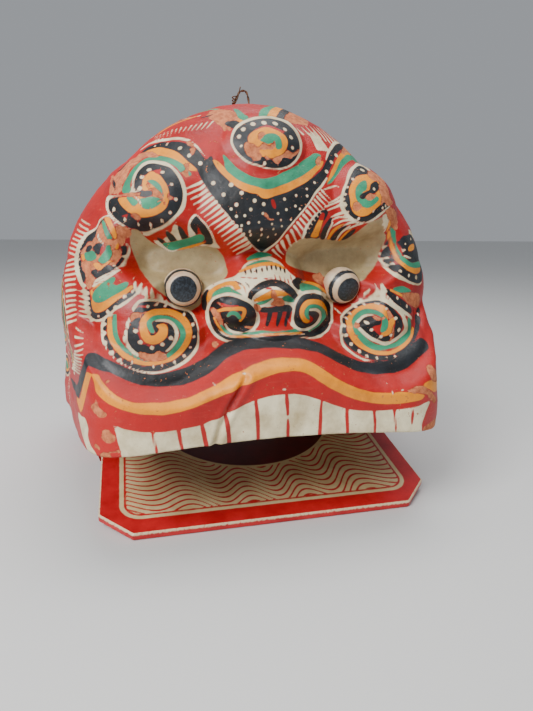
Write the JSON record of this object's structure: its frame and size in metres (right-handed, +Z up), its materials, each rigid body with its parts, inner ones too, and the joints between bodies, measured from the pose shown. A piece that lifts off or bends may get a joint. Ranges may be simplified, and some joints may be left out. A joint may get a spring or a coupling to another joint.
{
  "type": "lion dance head",
  "caption": "Domed lion mask shell with moulded brow, nose, cheeks and teeth, ball eyes, an open mouth over a sloping painted jaw board, and a wire hanging loop.",
  "frame": {"origin": "middle of the whole head's footprint, on the surface it stands on", "axes": "+Z up, the face looks towards -Y, +X is the viewer's right"},
  "size_m": [0.3814, 0.3678, 0.4092],
  "materials": {
    "lacquered_paper": "hand-painted red lacquer over layered paper, worn",
    "painted_board": "gloss-painted wood with red wave lines on cream",
    "painted_eye": "cream paint with a black pupil, satin",
    "rusty_wire": "rusted steel wire"
  },
  "bodies": {
    "root": {"head_shell": "lacquered_paper", "jaw_board": "painted_board", "eye_left": "painted_eye", "eye_right": "painted_eye", "hanging_wire": "rusty_wire"}
  },
  "joints": []
}
